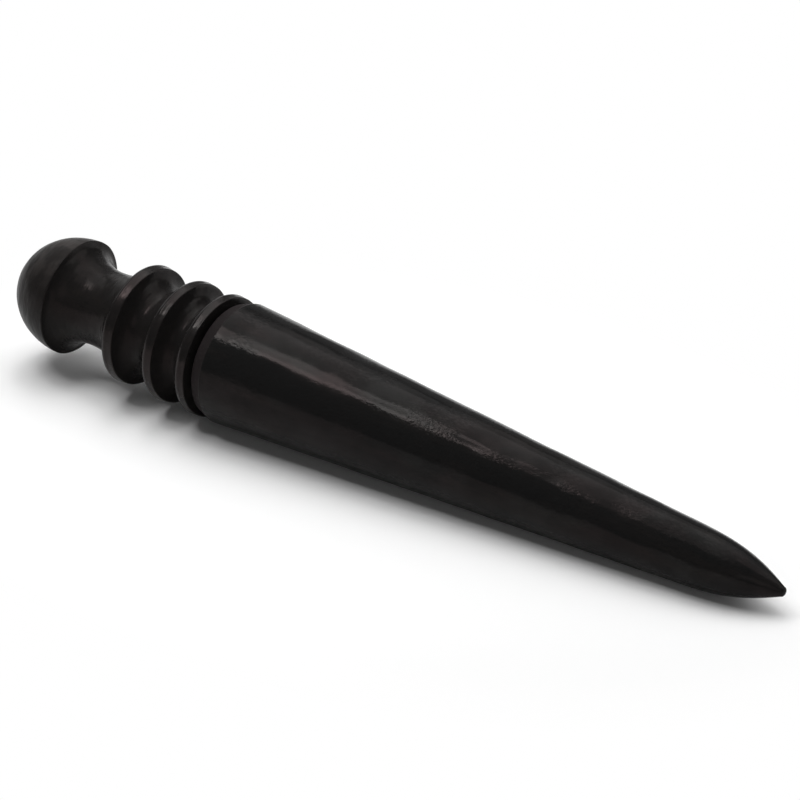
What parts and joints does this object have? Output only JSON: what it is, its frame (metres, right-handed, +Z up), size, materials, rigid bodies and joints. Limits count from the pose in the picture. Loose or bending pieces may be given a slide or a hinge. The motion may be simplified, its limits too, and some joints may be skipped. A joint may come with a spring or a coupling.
{
  "type": "leather edge burnisher",
  "caption": "Turned black hardwood leather edge burnisher with a round head, a waisted neck, beads and coves, a long straight taper and a blunt point.",
  "frame": {"origin": "on the bench, under the middle of the tool's bounding box, with the tool lying on the lowest flat of its taper", "axes": "+X from the round head to the point, +Z up from the bench; the turning axis dips 3.5 degrees towards +X"},
  "size_m": [0.1812, 0.0252, 0.0269],
  "materials": {
    "black_hardwood": "satin, waxed and burnished"
  },
  "bodies": {
    "root": {"burnisher": "black_hardwood"}
  },
  "joints": []
}
